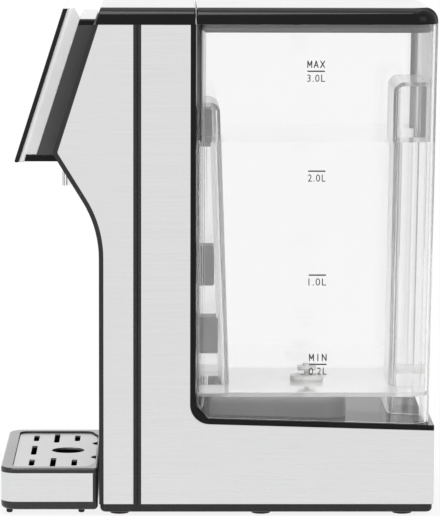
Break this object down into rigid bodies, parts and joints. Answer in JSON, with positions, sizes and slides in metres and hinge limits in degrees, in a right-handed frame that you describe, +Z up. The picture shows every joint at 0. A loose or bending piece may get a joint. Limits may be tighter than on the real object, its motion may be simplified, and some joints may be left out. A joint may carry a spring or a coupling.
{
  "type": "hot water dispenser",
  "caption": "Counter-top hot water dispenser with a slanted touch panel, a clear lift-off tank behind a steel-sided column, a spout and a pull-out drip tray.",
  "frame": {"origin": "on the table, under the middle of the footprint", "axes": "+Z up, -Y towards the user at the drip tray, +X to the user's right"},
  "size_m": [0.145, 0.2594, 0.3025],
  "materials": {
    "gloss_black": "polished black moulding",
    "satin_black": "fine satin black moulding",
    "fitting_grey": "satin grey moulding",
    "brushed_steel": "fine straight brushing",
    "dark_grey": "satin dark grey moulding",
    "clear_acrylic": "polished clear acrylic",
    "black_glass": "polished black touch glass",
    "clear_tank": "clear moulded copolyester",
    "liner_grey": "satin grey moulding",
    "silicone": "soft pale silicone",
    "seal_grey": "soft grey silicone",
    "rubber": "matt black rubber",
    "hose": "milky silicone hose",
    "white_plastic": "natural white moulding",
    "plain_steel": "plain steel",
    "cast_aluminium": "as-cast aluminium",
    "moulded_resin": "dark moulded resin",
    "circuit_board": "green solder resist",
    "brass": "turned brass"
  },
  "bodies": {
    "machine": {"base_plate": "satin_black", "base_screws": "plain_steel", "control_board": "circuit_board", "dock_seal": "silicone", "dock_socket": "white_plastic", "front_panel_left": "brushed_steel", "front_panel_right": "brushed_steel", "front_shell": "satin_black", "head_cap": "gloss_black", "head_housing": "dark_grey", "head_sill": "gloss_black", "heater_block": "cast_aluminium", "heater_bracket": "plain_steel", "inlet_hose": "hose", "level_sensor": "circuit_board", "light_panel": "clear_acrylic", "mains_inlet": "satin_black", "outlet_hose": "hose", "power_board": "circuit_board", "power_posts": "brass", "pump_chamber": "white_plastic", "pump_cover": "white_plastic", "pump_motor": "plain_steel", "pump_saddle": "rubber", "rear_housing": "satin_black", "rear_panel_left": "brushed_steel", "rear_panel_right": "brushed_steel", "riser_hose": "hose", "rubber_feet": "rubber", "sensor_housing": "fitting_grey", "spout_elbow": "white_plastic", "spout_nozzle": "clear_acrylic", "tank_cradle": "gloss_black", "tank_guide": "fitting_grey", "tank_hook": "fitting_grey", "tank_platform": "fitting_grey", "thermal_cutout": "moulded_resin", "top_cover": "gloss_black", "touch_glass": "black_glass"},
    "tank": {"tank": "clear_tank", "valve_body": "white_plastic", "valve_gasket": "silicone"},
    "lid": {"tank_lid": "gloss_black", "lid_liner": "liner_grey", "lid_seal": "seal_grey"},
    "valve": {"valve_poppet": "white_plastic", "poppet_seal": "silicone", "valve_spring": "plain_steel"},
    "tray": {"drip_tray": "satin_black", "tray_band": "brushed_steel", "tray_feet": "rubber"},
    "grille": {"drip_grille": "brushed_steel"},
    "impeller": {"pump_impeller": "white_plastic"}
  },
  "joints": [
    {"name": "tank_lift", "type": "slide", "parent": "machine", "child": "tank", "axis": [0, 0, 1], "range_m": [0, 0.26]},
    {"name": "lid_lift", "type": "slide", "parent": "tank", "child": "lid", "axis": [0, 0, 1], "range_m": [0, 0.06]},
    {"name": "valve_slide", "type": "slide", "parent": "tank", "child": "valve", "axis": [0, 0, 1], "range_m": [-0.0029, 0], "deforming": ["valve_spring"]},
    {"name": "tray_slide", "type": "slide", "parent": "machine", "child": "tray", "axis": [0, -1, 0], "range_m": [0, 0.1]},
    {"name": "grille_lift", "type": "slide", "parent": "tray", "child": "grille", "axis": [0, 0, 1], "range_m": [0, 0.04]},
    {"name": "impeller_spin", "type": "hinge", "parent": "machine", "child": "impeller", "pos_m": [0, 0.00595, 0.027], "axis": [0, 1, 0], "continuous": true}
  ],
  "couplings": [
    {"joint": "valve_slide", "follows": "tank_lift", "ratio": -0.011}
  ]
}
